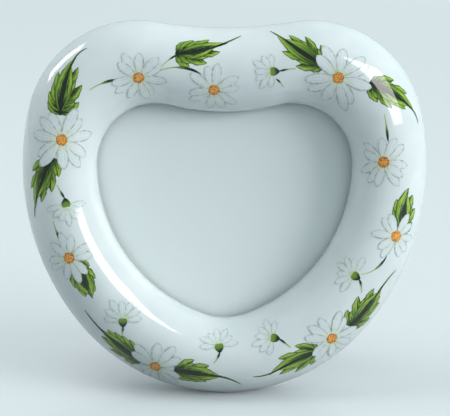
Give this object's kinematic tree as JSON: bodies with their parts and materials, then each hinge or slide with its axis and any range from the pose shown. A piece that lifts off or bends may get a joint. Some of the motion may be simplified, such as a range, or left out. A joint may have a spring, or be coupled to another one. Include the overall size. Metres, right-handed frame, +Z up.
{
  "type": "photo frame",
  "caption": "Heart shaped glazed porcelain photo frame with a daisy pattern, a clear lens, turn buttons at the back and a hinged easel leg.",
  "frame": {"origin": "centre of the bounding box's bottom, on the surface that the frame stands on", "axes": "+X to the right as the picture is seen, +Y to the back, +Z up; the frame leans back 12 degrees and its front faces -Y"},
  "size_m": [0.14, 0.0642, 0.1265],
  "materials": {
    "porcelain": "glossy clear glaze",
    "lens_glass": "polished",
    "card": "smooth",
    "filler": "grey board",
    "board": "hardboard",
    "velvet": "short pile",
    "steel": "zinc plated",
    "brass": "polished",
    "plastic": "moulded nylon"
  },
  "bodies": {
    "frame": {"porcelain_frame": "porcelain", "lens": "lens_glass", "insert_card": "card", "filler_card": "filler", "backing_board": "board", "back_velvet": "velvet", "hinge_upper_leaf": "steel", "hinge_pin": "steel", "board_rivets": "steel", "button_screws": "brass", "button_washers": "plastic", "screw_anchors": "plastic"},
    "easel_leg": {"leg_front_velvet": "velvet", "leg_board": "board", "leg_rear_velvet": "velvet", "hinge_lower_leaf": "steel", "leg_rivets": "steel"},
    "button_upper_right": {"turn_button_upper_right": "brass"},
    "button_upper_left": {"turn_button_upper_left": "brass"},
    "button_lower_right": {"turn_button_lower_right": "brass"},
    "button_lower_left": {"turn_button_lower_left": "brass"}
  },
  "joints": [
    {"name": "leg_hinge", "type": "hinge", "parent": "frame", "child": "easel_leg", "pos_m": [0, 0.00727, 0.08299], "axis": [1, 0, 0], "range_deg": [-28, 0]},
    {"name": "upper_right_button_turn", "type": "hinge", "parent": "frame", "child": "button_upper_right", "pos_m": [0.04273, 0.00924, 0.10017], "axis": [0, 0.9781, -0.2079], "continuous": true},
    {"name": "upper_left_button_turn", "type": "hinge", "parent": "frame", "child": "button_upper_left", "pos_m": [-0.04273, 0.00924, 0.10017], "axis": [0, 0.9781, -0.2079], "continuous": true},
    {"name": "lower_right_button_turn", "type": "hinge", "parent": "frame", "child": "button_lower_right", "pos_m": [0.0361, -0.00544, 0.0311], "axis": [0, 0.9781, -0.2079], "continuous": true},
    {"name": "lower_left_button_turn", "type": "hinge", "parent": "frame", "child": "button_lower_left", "pos_m": [-0.0361, -0.00544, 0.0311], "axis": [0, 0.9781, -0.2079], "continuous": true}
  ]
}
